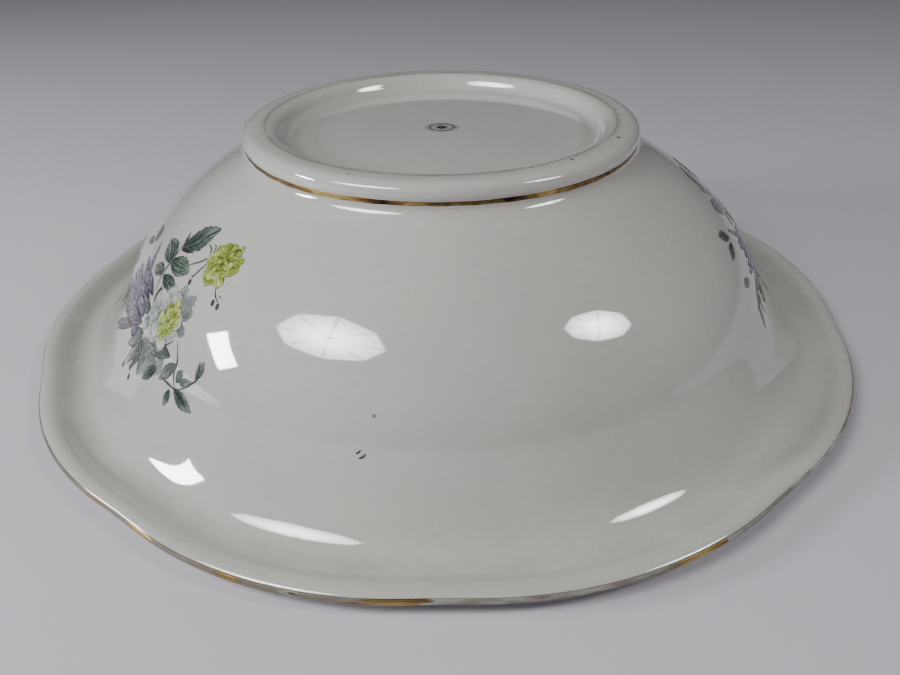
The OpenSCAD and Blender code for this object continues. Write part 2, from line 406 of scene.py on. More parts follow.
def rose_spray_print(seed):
    """The printed spray. Turns are in degrees from its middle and heights in mm up the wall."""
    p = Print(seed)
    # a grey wash of foliage behind the lower rose
    for turn, up, way, length, width in [(-9.5, 82, 160, 18, 9), (-9.2, 76, 150, 15, 8),
                                         (-9, 73, -165, 12, 8), (-11, 79, 80, 7, 5),
                                         (-11.6, 74, 140, 6, 4)]:
        p.leaf(WASH, turn, up, way, length, width, teeth=0.7, fullness=0.6)
    for turn, up, way, length, width in [(-7, 95, -70, 20, 10), (-8, 97, -40, 16, 9),
                                         (-3, 96, 30, 15, 10), (-5, 99, -10, 13, 8),
                                         (-10, 94, -20, 12, 6)]:
        p.leaf(WASH, turn, up, way, length, width, teeth=0.4, fullness=0.7)
    # leaves: [turn, up, direction, length, width, bend]
    for turn, up, way, length, width, bend in [
            (1.5, 52, 137, 25, 14, 0.1), (1.8, 59, 101, 21, 10, -0.1), (1, 60, -118, 19, 11, 0.12),
            (1.2, 51, -160, 9, 3, 0.2), (1, 66, 83, 17, 7, 0.1), (1, 66, -90, 14, 7, 0.1),
            (-1, 70, 20, 12, 7, 0), (-2, 84, -100, 14, 6, 0.1), (-2, 93, -56, 22, 9, 0.12),
            (-3, 95, -36, 22, 5, 0.1), (-3, 97, 17, 16, 6, -0.1), (-2.5, 99, -15, 15, 5, 0),
            (-14, 93, -50, 17, 6, 0.1), (-12, 92, -88, 26, 9, 0.1), (-14.3, 103.5, 66, 17, 6.5, 0.1),
            (-13.5, 105, 0, 8.5, 4.5, 0), (-14.5, 101, 150, 8, 5, 0.1), (-15.5, 101, 132, 9, 4, -0.2),
            (-18.8, 95, 165, 10, 4.5, 0), (-9, 101, -50, 14, 6, 0.1), (13, 92, -68, 20, 6, 0.1),
            (16, 96, -37, 19, 4, 0), (15, 97, -8, 12, 3, 0), (14, 64, -130, 13, 7, 0.2),
            (15, 66, -80, 15, 5, 0.1), (18, 84, -95, 11, 5, 0)]:
        p.leaf(LEAF, turn, up, way, length, width, bend=bend, teeth=0.16, fullness=0.9)
    # stems and sepals
    for width, places in [
            (1.0, [(-8.6, 46), (-7, 50), (-4.5, 54)]), (0.7, [(-8.3, 45), (-7.2, 42), (-5.5, 41)]),
            (0.6, [(-8.8, 44), (-8, 40), (-7.2, 40)]), (0.9, [(-9, 49), (-8.3, 54), (-7.8, 58)]),
            (0.5, [(-8.1, 56), (-7.2, 57.5)]), (0.6, [(-15, 56), (-16, 59), (-17.4, 61)]),
            (0.5, [(-16.6, 58), (-17.6, 58.6)]), (1.2, [(2, 50), (1.2, 57), (1.5, 66), (0, 74)]),
            (1.0, [(-12.5, 84), (-14, 92), (-13.6, 98), (-14.6, 104)]),
            (0.9, [(-11.5, 85), (-9, 91), (-6.5, 96)]), (1.1, [(-15, 104), (-12.5, 103.6), (-11, 103)]),
            (0.9, [(-18.8, 86.5), (-19.3, 94), (-17, 100), (-14.8, 104)]),
            (1.0, [(-1, 92), (-2, 100), (-4, 110)]), (0.9, [(-1, 94), (0.5, 103), (1.5, 114)]),
            (0.8, [(-1, 100), (-1.4, 108), (-1.7, 115)]), (0.9, [(12, 88), (15, 94), (18, 104)])]:
        p.stroke(LINE, width, places)
    for turn, up in [(-1.9, 115), (1.6, 114), (-0.9, 111), (-17.4, 61), (-16, 60.5), (-7.8, 58.3)]:
        p.leaf(LINE, turn, up, 20, 3.2, 2.2, fullness=0.5)
    # the fringed flower: long narrow florets in a fan, then short pale ones in front
    for ring, (count, low, high, reach) in enumerate([(17, -140, -62, 44), (14, -132, -66, 34),
                                                      (11, -126, -70, 24)]):
        for i in range(count):
            way = low + (high - low) * i / (count - 1) + p.random.uniform(-2.5, 2.5)
            p.leaf(VIOLET, 0.6, 92 - 2 * ring, way, reach * p.random.uniform(0.8, 1.05),
                   p.random.uniform(3.2, 4.6), fullness=0.6, belly=1.6,
                   bend=p.random.uniform(-0.08, 0.12))
    for turn, up, way, length, width in [(0, 77, -105, 22, 6), (0.5, 80, -98, 20, 5),
                                         (0, 91, -80, 15, 7), (0.8, 95, -60, 12, 6),
                                         (0, 88, -112, 15, 7), (1.6, 92, -95, 11, 6)]:
        p.leaf(VIOLET, turn, up, way, length, width, fullness=0.6, belly=1.3, bend=0.1)
    # the white rose, its yellow heart, and the yellow rose above it
    p.rose(PALE, -6.4, 80, 14.5, 1.05, 0, [(8, 0.28, 0.72, 0.62), (6, 0.15, 0.62, 0.6)])
    p.leaf(PALE, -2.6, 80, 172, 11, 9, fullness=0.6)
    p.leaf(PALE, -2.4, 85, -30, 8, 6, fullness=0.6)
    p.rose(ROSE, -8, 79.5, 10.6, 0.72, 68, [(8, 0.36, 0.66, 0.62), (7, 0.2, 0.55, 0.5),
                                            (6, 0.06, 0.42, 0.4), (4, 0, 0.24, 0.26)])
    p.rose(ROSE, -12.8, 45.5, 12, 0.94, 30, [(9, 0.36, 0.64, 0.56), (8, 0.24, 0.55, 0.48),
                                             (6, 0.1, 0.45, 0.42), (5, 0, 0.28, 0.3)])
    p.leaf(ROSE, -13.6, 37.5, 80, 5, 4, fullness=0.5)
    p.leaf(ROSE, -12.4, 36, -50, 7, 5, fullness=0.5)
    return p


# ---------------------------------------------------------------- shader groups
def node(tree, kind, inputs=None, **settings):
    """A shader node with its settings; an input is linked if a socket is given, else set."""
    made = tree.nodes.new("ShaderNode" + kind)
    for key, value in settings.items():
        setattr(made, key, value)
    for key, value in (inputs or {}).items():
        if isinstance(value, bpy.types.NodeSocket):
            tree.links.new(value, made.inputs[key])
        else:
            made.inputs[key].default_value = value
    return made


def math_node(tree, operation, a, b=0.0):
    return node(tree, "Math", {0: a, 1: b}, operation=operation).outputs[0]


def times(tree, a, b):
    return math_node(tree, "MULTIPLY", a, b)


def plus(tree, a, b):
    return math_node(tree, "ADD", a, b)


def minus(tree, a, b):
    return math_node(tree, "SUBTRACT", a, b)


def larger(tree, a, b):
    return math_node(tree, "MAXIMUM", a, b)


def apart(tree, a, b):
    return math_node(tree, "ABSOLUTE", minus(tree, a, b))


def step_up(tree, value, low, high, to_low=0.0, to_high=1.0):
    """Smooth ramp from to_low to to_high while value goes from low to high."""
    return node(tree, "MapRange", {"Value": value, "From Min": low, "From Max": high,
                                   "To Min": to_low, "To Max": to_high},
                interpolation_type="SMOOTHSTEP").outputs["Result"]


def mixed(tree, share, a, b, blend="MIX"):
    return node(tree, "MixRGB", {"Fac": share, "Color1": a, "Color2": b},
                blend_type=blend).outputs["Color"]


def noise(tree, place, scale, detail):
    """Clouds of noise, 0.5 on average: scale sets how small they are."""
    return node(tree, "TexNoise", {"Vector": place, "Scale": scale, "Detail": detail}).outputs["Fac"]


def ramped(tree, value, stops):
    """A colour ramp: stops are (position, colour), the lowest first."""
    ramp = node(tree, "ValToRGB", {"Fac": value})
    marks = ramp.color_ramp.elements
    marks[0].position, marks[1].position = stops[0][0], stops[-1][0]
    for position, _ in stops[1:-1]:
        marks.new(position)
    for mark, (_, color) in zip(marks, stops):
        mark.color = color
    return ramp.outputs["Color"]


def new_group(name, inputs, outputs):
    """An empty shader group: inputs are (name, kind, default), outputs are (name, kind)."""
    tree = bpy.data.node_groups.new(name, "ShaderNodeTree")
    for label, kind, default in inputs:
        socket = tree.interface.new_socket(label, in_out="INPUT", socket_type="NodeSocket" + kind)
        if kind != "Vector":
            socket.default_value = default
    for label, kind in outputs:
        tree.interface.new_socket(label, in_out="OUTPUT", socket_type="NodeSocket" + kind)
    given = tree.nodes.new("NodeGroupInput").outputs
    return tree, given, tree.nodes.new("NodeGroupOutput").inputs


def crazing_group():
    """Fine net of cracks in the glaze: the borders of warped Voronoi cells, where a cloud
    noise lets them show."""
    tree, given, out = new_group("glaze_crazing", [
        ("Place", "Vector", None), ("Cells", "Float", 150.0), ("Width", "Float", 0.05),
        ("Shown", "Float", 0.5)], [("Cracks", "Float")])
    drift = node(tree, "TexNoise", {"Vector": given["Place"], "Scale": 60.0, "Detail": 2.0})
    push = node(tree, "VectorMath", {0: drift.outputs["Color"], 1: (0.004, 0.004, 0.004)},
                operation="MULTIPLY")
    place = node(tree, "VectorMath", {0: given["Place"], 1: push.outputs[0]}, operation="ADD")
    cells = node(tree, "TexVoronoi", {"Vector": place.outputs[0], "Scale": given["Cells"]},
                 feature="DISTANCE_TO_EDGE")
    crack = step_up(tree, cells.outputs["Distance"], 0.0, given["Width"], 1.0, 0.0)
    cloud = noise(tree, given["Place"], 22.0, 3.0)
    area = step_up(tree, cloud, minus(tree, 1.0, given["Shown"]), 1.0)
    tree.links.new(times(tree, crack, area), out["Cracks"])
    return tree


def speck_group():
    """Dark specks and pinholes: discs round the points of a Voronoi pattern, of random size,
    with most of the points left out."""
    tree, given, out = new_group("glaze_specks", [
        ("Place", "Vector", None), ("Spread", "Float", 60.0), ("Size", "Float", 0.05),
        ("Share", "Float", 0.3)], [("Specks", "Float")])
    points = node(tree, "TexVoronoi", {"Vector": given["Place"], "Scale": given["Spread"]},
                  feature="F1")
    chance = node(tree, "SeparateColor", {"Color": points.outputs["Color"]})
    kept = math_node(tree, "LESS_THAN", chance.outputs["Red"], given["Share"])
    size = times(tree, given["Size"], plus(tree, chance.outputs["Green"], 0.35))
    near = math_node(tree, "DIVIDE", points.outputs["Distance"], size)
    disc = step_up(tree, near, 0.5, 1.0, 1.0, 0.0)
    tree.links.new(times(tree, disc, kept), out["Specks"])
    return tree


def cloud_group():
    """Uneven tone of glaze and ink: broad clouds plus a finer mottle, 0.5 on average."""
    tree, given, out = new_group("uneven_tone", [
        ("Place", "Vector", None), ("Broad", "Float", 14.0), ("Fine", "Float", 260.0),
        ("Fine share", "Float", 0.4)], [("Tone", "Float")])
    broad = noise(tree, given["Place"], given["Broad"], 3.0)
    fine = noise(tree, given["Place"], given["Fine"], 3.0)
    tone = node(tree, "Mix", {0: given["Fine share"], 2: broad, 3: fine})
    tree.links.new(tone.outputs[0], out["Tone"])
    return tree


def wave_group():
    """Height of the glaze's surface in metres: slow ripples where it pooled, a finer orange
    peel, and a dint along each crack."""
    tree, given, out = new_group("glaze_waves", [
        ("Place", "Vector", None), ("Cracks", "Float", 0.0), ("Ripple", "Float", 0.03 * MM),
        ("Peel", "Float", 0.003 * MM)], [("Height", "Float")])
    slow = noise(tree, given["Place"], 30.0, 1.0)
    peel = noise(tree, given["Place"], 210.0, 2.0)
    height = plus(tree, times(tree, slow, given["Ripple"]), times(tree, peel, given["Peel"]))
    dint = times(tree, given["Cracks"], 0.003 * MM)
    tree.links.new(minus(tree, height, dint), out["Height"])
    return tree


def wear_group():
    """Worn patches: 1 where a fired layer is left, from a stretched noise against a limit."""
    tree, given, out = new_group("fired_layer_wear", [
        ("Place", "Vector", None), ("Left", "Float", 0.5), ("Size", "Float", 60.0)],
        [("Kept", "Float")])
    patch = node(tree, "TexNoise", {"Vector": given["Place"], "Scale": given["Size"],
                                    "Detail": 5.0, "Roughness": 0.62})
    limit = minus(tree, 1.0, given["Left"])
    over = minus(tree, patch.outputs["Fac"], limit)
    tree.links.new(step_up(tree, over, -0.02, 0.02), out["Kept"])
    return tree


CRAZING, SPECKS, CLOUDS = crazing_group(), speck_group(), cloud_group()
WAVES, WEAR = wave_group(), wear_group()


def grouped(tree, group, inputs):
    return node(tree, "Group", inputs, node_tree=group).outputs


def tone_of(tree, place, **settings):
    """The uneven tone at a place; settings are the group's own inputs."""
    inputs = {key.replace("_", " "): value for key, value in settings.items()}
    return grouped(tree, CLOUDS, {"Place": place, **inputs})["Tone"]


def specks(tree, place, spread, size, share):
    return grouped(tree, SPECKS, {"Place": place, "Spread": spread, "Size": size,
                                  "Share": share})["Specks"]


def waved(tree, shader, place, **settings):
    """Bumps a surface with the glaze's waves; settings are the group's own inputs."""
    height = grouped(tree, WAVES, {"Place": place, **settings})["Height"]
    bump = node(tree, "Bump", {"Height": height, "Distance": 1.0})
    tree.links.new(bump.outputs["Normal"], shader["Normal"])


def new_material(name, roughness, **constants):
    """A Principled material with its constants set on the shader's own sockets."""
    material = bpy.data.materials.new(name)
    material.use_nodes = True
    tree = material.node_tree
    shader = tree.nodes["Principled BSDF"]
    shader.inputs["Roughness"].default_value = roughness
    for key, value in constants.items():
        shader.inputs[key.replace("_", " ")].default_value = value
    place = node(tree, "TexCoord").outputs["Object"]
    return material, tree, shader.inputs, place


GLAZE_COLOR = (0.60, 0.595, 0.55, 1)
CRACK_COLOR = (0.36, 0.33, 0.27, 1)
DUST_COLOR = (0.30, 0.27, 0.22, 1)
SPECK_COLOR = (0.13, 0.11, 0.09, 1)
# painted olive shade for the groove behind the lip
GROOVE_SHADE_COLOR = (0.43, 0.43, 0.35, 1)
# grime on the foot's crest, and painted shade in the crease at the top of the gilt line
GRIME_AND_SHADE_COLOR = (0.38, 0.35, 0.28, 1)
# painted shade for the corner of the recess under the foot
RECESS_SHADE_COLOR = (0.30, 0.28, 0.23, 1)
WORN_COLOR = (0.16, 0.14, 0.10, 1)
GRIT_COLOR = (0.05, 0.045, 0.04, 1)
GLOSS = {"Coat_Weight": 1.0, "Coat_Roughness": 0.03, "Coat_IOR": 1.7}


def glaze_surface(tree, shader, place, shown):
    """What every glazed surface shares: tone, crazing, specks and the surface's waves. Gives
    back the colour, which isn't linked yet."""
    tone = tone_of(tree, place, Fine_share=0.35)
    cracks = grouped(tree, CRAZING, {"Place": place, "Shown": shown})["Cracks"]
    dots = specks(tree, place, 55.0, 0.055, 0.16)
    dust = specks(tree, place, 210.0, 0.10, 0.10)
    shade = ramped(tree, tone, [(0.34, (0.90, 0.90, 0.90, 1)), (0.66, (1.0, 1.0, 1.0, 1))])
    base = mixed(tree, 1.0, GLAZE_COLOR, shade, "MULTIPLY")
    base = mixed(tree, times(tree, cracks, 0.30), base, CRACK_COLOR)
    base = mixed(tree, times(tree, dust, 0.35), base, DUST_COLOR)
    base = mixed(tree, times(tree, dots, 0.75), base, SPECK_COLOR)
    waved(tree, shader, place, Cracks=cracks)
    rough = plus(tree, times(tree, cracks, 0.12), 0.055)
    tree.links.new(plus(tree, rough, times(tree, dots, 0.3)), shader["Roughness"])
    return base


def near_ring(tree, place, radius, height, reach, wander=0.0):
    """1 on the circle of this radius and height round the bowl's axis, and 0 at reach from it:
    the root of the squares of the two gaps, with a noise added for a wandering line."""
    spot = node(tree, "SeparateXYZ", {"Vector": place})
    flat = node(tree, "CombineXYZ", {"X": spot.outputs["X"], "Y": spot.outputs["Y"]})
    r = node(tree, "VectorMath", {0: flat.outputs[0]}, operation="LENGTH").outputs["Value"]
    shift = times(tree, minus(tree, noise(tree, place, 45.0, 3.0), 0.5), wander)
    gap = plus(tree, minus(tree, r, radius), shift)
    rise = minus(tree, spot.outputs["Z"], height)
    away = node(tree, "CombineXYZ", {"X": gap, "Y": rise})
    far = node(tree, "VectorMath", {0: away.outputs[0]}, operation="LENGTH").outputs["Value"]
    return step_up(tree, far, 0.0, reach, 1.0, 0.0)


def grime_and_shade_ring(tree, place, base, share, radius, height, reach, color, wander=0.0):
    """Lays a soft ring over a colour, uneven along its way: grime on the foot's crest and painted shade
    in the creases and in the groove behind the lip.
    """
    ring = near_ring(tree, place, radius, height, reach, wander)
    uneven = tone_of(tree, place, Broad=38.0, Fine=500.0)
    ring = times(tree, ring, step_up(tree, uneven, 0.36, 0.60, 0.25, 1.0))
    return mixed(tree, times(tree, ring, share), base, color)


# Painted shade: a darker ring in the corner of the recess under the foot.
def recess_shade(tree, place, base):
    return grime_and_shade_ring(tree, place, base, 0.42, RECESS_R, FOOT_H, 5 * MM, RECESS_SHADE_COLOR, 2 * MM)


def bowl_glaze():
    """The bowl's glaze, with painted olive shade in the groove behind the lip and painted shade in the
    creases at the recess and at the top of the gilt line.
    """
    material, tree, shader, place = new_material("glazed_porcelain", 0.06, **GLOSS)
    base = recess_shade(tree, place, glaze_surface(tree, shader, place, 0.62))
    # painted olive shade along the groove behind the lip
    base = grime_and_shade_ring(tree, place, base, 0.55, CREST_R + 2 * MM, GROOVE_Z, 15 * MM, GROOVE_SHADE_COLOR,
                 3 * MM)
    # painted shade in the crease at the top of the gilt line
    base = grime_and_shade_ring(tree, place, base, 0.40, FOOT_R, LINE_HIGH.z, 3 * MM, GRIME_AND_SHADE_COLOR, 1 * MM)
    tree.links.new(base, shader["Base Color"])
    return material


def foot_glaze():
    """The glaze of the foot ring: a grimy line and dark chips along the crest it stands on."""
    material, tree, shader, place = new_material("foot_glaze", 0.06, **GLOSS)
    base = recess_shade(tree, place, glaze_surface(tree, shader, place, 0.55))
    inner = STAND_R - STAND_W / 2 - MM
    base = grime_and_shade_ring(tree, place, base, 0.95, inner, 0.0, 1.2 * MM, WORN_COLOR, 2.2 * MM)
    base = grime_and_shade_ring(tree, place, base, 0.55, inner, 0.0, 4.0 * MM, GRIME_AND_SHADE_COLOR, 2 * MM)
    crest = near_ring(tree, place, STAND_R, 0.0, 4.5 * MM)
    grit = specks(tree, place, 230.0, 0.30, 0.20)
    base = mixed(tree, times(tree, crest, grit), base, GRIT_COLOR)
    tree.links.new(base, shader["Base Color"])
    return material


# Gold from its darkest to its brightest, darkened for tarnish and for a painted dark reflection of the
# room, and the brown bed left where it is gone
GOLD_AND_REFLECTION_TONES = [(0.40, (0.030, 0.018, 0.010, 1)), (0.56, (0.24, 0.145, 0.05, 1)),
              (0.76, (0.56, 0.40, 0.15, 1))]
SIZE_COLOR = (0.20, 0.165, 0.12, 1)


def gilding(name, left, size, kept_and_glinting):
    """Fired gold, tarnished brown with a painted dark reflection, and rubbed through to the glaze in
    streaks along the ring; the list given last holds the directions in degrees, with half widths, where
    the most is left and where the gold is painted brighter as a painted highlight."""
    material, tree, shader, place = new_material(name, 0.25)
    spot = node(tree, "SeparateXYZ", {"Vector": place})
    angle = math_node(tree, "ARCTAN2", spot.outputs["Y"], spot.outputs["X"])
    way = node(tree, "CombineXYZ", {"X": times(tree, angle, RIM_R / 6), "Z": spot.outputs["Z"]})
    along = way.outputs[0]
    extra = 0.0
    for direction, half_width in kept_and_glinting:
        off = apart(tree, angle, math.radians(direction))
        near = step_up(tree, off, 0.0, math.radians(half_width), 0.22, 0.0)
        extra = larger(tree, extra, near)
    tone = tone_of(tree, along, Broad=90.0, Fine=700.0)
    # the tone lifted near the listed directions paints the gold brighter there: a painted highlight
    gold = ramped(tree, plus(tree, tone, extra), GOLD_AND_REFLECTION_TONES)
    kept = grouped(tree, WEAR, {"Place": along, "Size": size,
                                "Left": plus(tree, extra, left)})["Kept"]
    tree.links.new(mixed(tree, kept, SIZE_COLOR, gold), shader["Base Color"])
    tree.links.new(kept, shader["Metallic"])
    tree.links.new(step_up(tree, tone, 0.35, 0.65, 0.40, 0.22), shader["Roughness"])
    patches = tone_of(tree, along, Broad=40.0, Fine=400.0)
    trace = step_up(tree, patches, 0.36, 0.58, 0.15, 0.85)
    tree.links.new(larger(tree, kept, trace), shader["Alpha"])
    waved(tree, shader, place, Peel=0.012 * MM)
    return material


def ink_group():
    """Colour of one printed petal or leaf from its own UV (U along, V across): dark at the
    root, light at the tip and in a random share of the patches, streaked along its length,
    with an engraved outline, a middle vein and slanted side veins."""
    tree, given, out = new_group("print_ink", [
        ("UV", "Vector", None), ("Place", "Vector", None), ("Tone", "Float", 0.5),
        ("Dark", "Color", (0, 0, 0, 1)), ("Middle", "Color", (0.5, 0.5, 0.5, 1)),
        ("Light", "Color", (1, 1, 1, 1)), ("Streaks", "Float", 0.3), ("Veins", "Float", 0.0),
        ("Outline", "Float", 0.5)], [("Color", "Color"), ("Line", "Float")])
    parts = node(tree, "SeparateXYZ", {"Vector": given["UV"]})
    along, across = parts.outputs["X"], parts.outputs["Y"]
    side = apart(tree, times(tree, across, 2.0), 1.0)
    stretch = node(tree, "CombineXYZ", {"X": times(tree, along, 2.2),
                                        "Y": times(tree, across, 7.0),
                                        "Z": times(tree, given["Tone"], 40.0)})
    streak = noise(tree, stretch.outputs[0], 1.6, 4.0)
    wash = noise(tree, given["Place"], 420.0, 4.0)
    root_to_tip = plus(tree, times(tree, along, 0.55), times(tree, given["Tone"], 0.30))
    ripple = times(tree, minus(tree, streak, 0.5), given["Streaks"])
    blot = times(tree, minus(tree, wash, 0.5), 0.5)
    value = plus(tree, plus(tree, root_to_tip, times(tree, ripple, 3.0)), blot)
    lower = mixed(tree, step_up(tree, value, 0.05, 0.45), given["Dark"], given["Middle"])
    color = mixed(tree, step_up(tree, value, 0.45, 0.85), lower, given["Light"])
    rim = larger(tree, step_up(tree, side, 0.80, 0.98), step_up(tree, along, 0.90, 0.97))
    rim = times(tree, rim, given["Outline"])
    slant = minus(tree, times(tree, along, 7.0), times(tree, side, 1.6))
    tooth = apart(tree, math_node(tree, "FRACT", slant), 0.5)
    vein = larger(tree, step_up(tree, side, 0.03, 0.12, 1.0, 0.0),
                  step_up(tree, tooth, 0.03, 0.14, 1.0, 0.0))
    line = larger(tree, rim, times(tree, vein, given["Veins"]))
    line = times(tree, line, step_up(tree, wash, 0.30, 0.55, 0.35, 1.0))
    tree.links.new(mixed(tree, line, color, given["Dark"]), out["Color"])
    tree.links.new(line, out["Line"])
    return tree


INK = ink_group()


def printed(name, dark, middle, light, streaks=0.3, veins=0.0, outline=0.5, cover=1.0):
    """Printed and tinted ink under the glaze: the glaze's gloss and waves lie over it."""
    material, tree, shader, place = new_material(name, 0.07)
    uv = node(tree, "UVMap", uv_map="print").outputs["UV"]
    tone = node(tree, "Attribute", attribute_name="tone").outputs["Fac"]
    ink = grouped(tree, INK, {"UV": uv, "Place": place, "Tone": tone, "Dark": dark, "Middle": middle,
                              "Light": light, "Streaks": streaks, "Veins": veins, "Outline": outline})
    tree.links.new(ink["Color"], shader["Base Color"])
    waved(tree, shader, place)
    if cover < 1.0:
        thin = noise(tree, place, 330.0, 4.0)
        tree.links.new(step_up(tree, thin, 0.62 - 0.5 * cover, 0.80 - 0.5 * cover), shader["Alpha"])
    return material


def print_materials():
    """In the order of the kinds LEAF, ROSE, PALE, VIOLET, LINE, WASH."""
    return [
        printed("print_leaf", (0.018, 0.028, 0.022, 1), (0.085, 0.115, 0.09, 1),
                (0.27, 0.31, 0.265, 1), streaks=0.65, veins=0.75, outline=0.75),
        printed("print_yellow_rose", (0.04, 0.062, 0.010, 1), (0.27, 0.34, 0.045, 1),
                (0.62, 0.67, 0.27, 1), streaks=0.60, outline=1.0),
        printed("print_white_rose", (0.075, 0.105, 0.09, 1), (0.34, 0.37, 0.345, 1),
                (0.585, 0.58, 0.535, 1), streaks=0.55, outline=0.85),
        printed("print_violet_flower", (0.018, 0.014, 0.023, 1), (0.085, 0.068, 0.10, 1),
                (0.31, 0.28, 0.34, 1), streaks=1.0, outline=0.9),
        printed("print_stem", (0.03, 0.042, 0.034, 1), (0.06, 0.08, 0.065, 1),
                (0.12, 0.15, 0.12, 1)),
        printed("print_grey_wash", (0.10, 0.122, 0.113, 1), (0.19, 0.218, 0.205, 1),
                (0.30, 0.325, 0.31, 1), streaks=0.5, outline=0.4, cover=0.8)]


# ---------------------------------------------------------------- the pieces
def build_bowl():
    return vessel("bowl", bowl_section(), bowl_glaze(), "bowl_body")


def build_foot():
    """The foot ring, let 0.2 mm into the bowl so that its joint with the floor is fine."""
    sunk = 0.2 * MM
    start = [(RECESS_R - 0.4 * MM, FOOT_H + sunk / 4), FOOT_INSIDE[0]]
    crest = [(STAND_R - 0.6 * MM, 0), (STAND_R + 0.6 * MM, 0), FOOT_ROLL[0]]
    joint = [(FOOT_R, FOOT_H + sunk), ((FOOT_R + RECESS_R) / 2, FOOT_H + sunk)]
    section = np.concatenate([np.array(start), curve(FOOT_INSIDE, 22), np.array(crest),
                              curve(FOOT_ROLL, 26), np.array(joint)])
    return ring_piece("foot", section, foot_glaze(), "foot_ring")


def build_foot_line():
    """The brushed gold line: a thin cushion in the crease whose edges wander a little, as
    two slow sine waves of the angle."""
    theta = full_turn(720)
    rise = 0.12 * MM
    low = LINE_LOW.z + 0.16 * MM * np.sin(7 * theta + 1) + 0.07 * MM * np.sin(31 * theta)
    high = LINE_HIGH.z + 0.18 * MM * np.sin(5 * theta) + 0.08 * MM * np.sin(43 * theta + 2)
    share = np.array([0, 0.06, 0.3, 0.5, 0.7, 0.94, 1])
    stand = np.array([0, 0.75, 1, 1, 1, 0.75, 0]) * rise
    z = low[:, None] + (high - low)[:, None] * share
    r = FOOT_R + stand + 0.25 * MM * np.clip((z - LINE_HIGH.z + 0.3 * MM) / MM, 0, 1)
    inner_z = z[:, ::-1][:, 1:-1]
    inner_r = FOOT_R - 0.3 * MM + 0 * inner_z
    r, z = np.concatenate([r, inner_r], 1), np.concatenate([z, inner_z], 1)
    th = theta[:, None]
    points = np.stack([r * np.cos(th), r * np.sin(th), z], -1)
    faces = grid_faces(len(theta), r.shape[1], True, True).tolist()
    material = gilding("gilt_line_gold", 0.70, 150.0, [(-66, 16), (-85, 7), (-118, 9)])
    return make_piece("gilt_line", points, faces, [material], "gilt_foot_line")


def build_rim_gold():
    """Gold on the lip's edge: the edge's own section moved out a little and closed inside."""
    lift, sink = -0.07 * MM, 0.15 * MM
    outside = np.concatenate([curve(LIP_BELOW, 7, lift)[3:], curve(LIP_ABOVE, 7, lift)[:4]])
    inside = np.concatenate([curve(LIP_BELOW, 7, sink)[4:], curve(LIP_ABOVE, 7, sink)[:3]])
    section = np.concatenate([outside, inside[::-1]])
    material = gilding("gilt_edge_gold", 0.40, 110.0,
                       [(-88, 9), (-60, 4), (-72, 3), (-118, 5), (60, 9)])
    return ring_piece("gilt_edge", section, material, "gilt_rim_edge")


def build_sprays(materials):
    for letter, turn, seed in (("a", -36, 11), ("b", 184, 12)):
        rose_spray_print(seed).piece("spray_" + letter, turn, materials, "rose_spray_" + letter)


def build_stray_leaf(materials):
    """Two dark dashes of the leaf print, side by side, that strayed on to the front."""
    p = Print(5)
    p.stroke(LINE, 0.9, [(0.55, 104.9), (0.25, 104.3), (-0.1, 103.1)])
    p.stroke(LINE, 1.1, [(0.15, 106.6), (-0.35, 105.9), (-0.75, 104.5)])
    p.piece("leaf_scrap", -82, materials, "stray_leaf")


def mark_ink():
    """Dark stamp ink, blotted where the stamp pressed unevenly."""
    material, tree, shader, place = new_material("mark_ink", 0.1)
    tone = tone_of(tree, place, Broad=300.0, Fine=1500.0, Fine_share=0.5)
    blots = ramped(tree, tone, [(0.38, (0.022, 0.024, 0.028, 1)), (0.66, (0.16, 0.17, 0.18, 1))])
    tree.links.new(blots, shader["Base Color"])
    waved(tree, shader, place)
    return material


# Rings of the stamp: [radius, width]; blades: [number, start, length, width, lean, layer].
# All are shares of the stamp's size, but for the lean, in degrees, and the layer
MARK_RINGS = [(0.97, 0.045), (0.52, 0.035)]
MARK_BLADES = [(22, 0.60, 0.36, 0.16, 38, 1), (22, 0.62, 0.30, 0.13, -46, 2),
               (8, 0.08, 0.36, 0.22, 0, 3), (8, 0.04, 0.24, 0.14, 0, 3)]


def mark_patches(size):
    """Flat patches of the stamp, each with the layer that it lies in. The blades that lean
    back stand half way between those that lean ahead."""
    patches = []
    around = np.linspace(0, 2 * math.pi, 97)[:, None]
    for radius, width in MARK_RINGS:
        r = size * (radius + width * np.array([[-0.5, 0.5]]))
        patches.append((np.stack([r * np.cos(around), r * np.sin(around)], -1), 0))
    for number, start, length, width, lean, layer in MARK_BLADES:
        local, _ = blade(size * length, size * width, fullness=0.8, steps=(9, 5))
        for i in range(number):
            heading = 360 * (i + 0.5 * (lean < 0)) / number
            patches.append((heading_out(local, heading, size * start, lean), layer))
    return patches


def build_mark():
    """A plain, generic stamp: a garland of small leaves between two thin rings, with a
    rosette in the middle. It has no lettering."""
    centre = (MARK_LOW + MARK_HIGH) / 2
    points, faces, count = [], [], 0
    for flat, layer in mark_patches((MARK_HIGH.x - MARK_LOW.x) / 2):
        rows, columns = flat.shape[:2]
        x, y = centre.x - flat[..., 0], centre.y + 0.86 * flat[..., 1]
        depth = FOOT_H - (0.04 + 0.008 * layer) * MM
        points.append(np.stack([x, y, depth + 0 * x], -1).reshape(-1, 3))
        faces += grid_faces(rows, columns, False, False, count).tolist()
        count += rows * columns
    made = make_piece("mark", np.concatenate(points), faces, [mark_ink()], "base_mark")
    return thickened(made)


# ---------------------------------------------------------------- stage, light and camera
STAGE_REACH = 4.0
STAGE_GAP = 0.3 * MM


